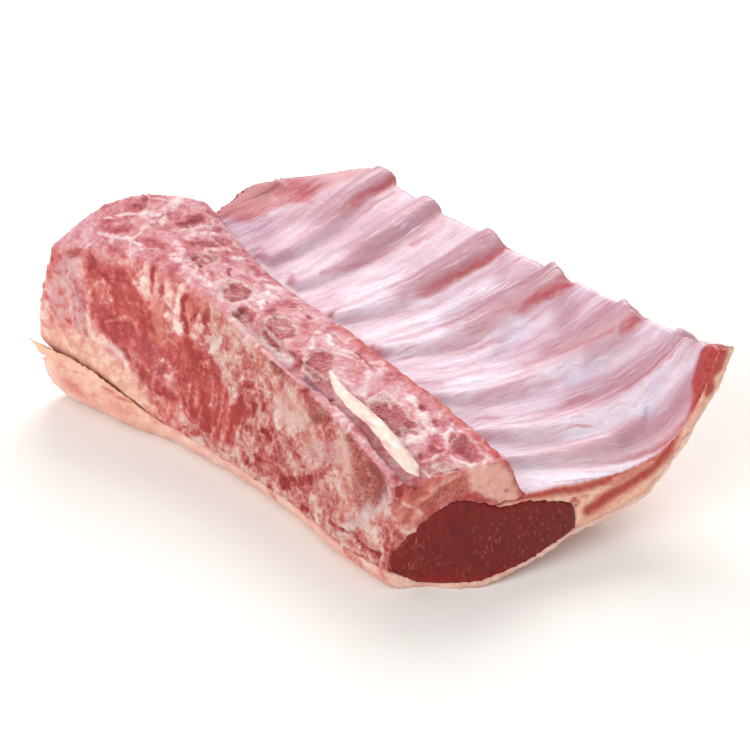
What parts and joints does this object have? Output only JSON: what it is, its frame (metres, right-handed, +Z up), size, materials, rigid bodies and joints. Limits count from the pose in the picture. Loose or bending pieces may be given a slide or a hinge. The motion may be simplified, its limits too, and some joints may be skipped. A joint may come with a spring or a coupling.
{
  "type": "raw rack of ribs",
  "caption": "Raw rack of ribs with the backbone on, lying on its fat with the inside of the rib cage up and the loin muscle showing at the cut end.",
  "frame": {"origin": "middle of the bounding box's underside, on the surface the rack lies on", "axes": "+X along the backbone to the loin end, +Y out along the ribs to their sawn ends, +Z up"},
  "size_m": [0.2154, 0.1516, 0.0752],
  "materials": {
    "fat": "soft moist fat, cream and pale pink",
    "lean": "moist raw lean meat, red",
    "eye_lean": "moist cut face of the loin muscle, dark brownish red",
    "bone": "sawn raw bone, pink and porous",
    "rib_bone": "raw rib under a thin shiny skin, mauve pink",
    "membrane": "thin wet skin over meat, pale lilac pink",
    "marrow": "soft cream-white cord"
  },
  "bodies": {
    "root": {"fat_cap": "fat", "side_muscle": "lean", "rib_wall": "membrane", "chine_bone": "bone", "loin_eye": "eye_lean", "rib_1": "rib_bone", "rib_2": "rib_bone", "rib_3": "rib_bone", "rib_4": "rib_bone", "rib_5": "rib_bone", "rib_6": "rib_bone", "rib_7": "rib_bone", "spinal_marrow": "marrow"}
  },
  "joints": []
}
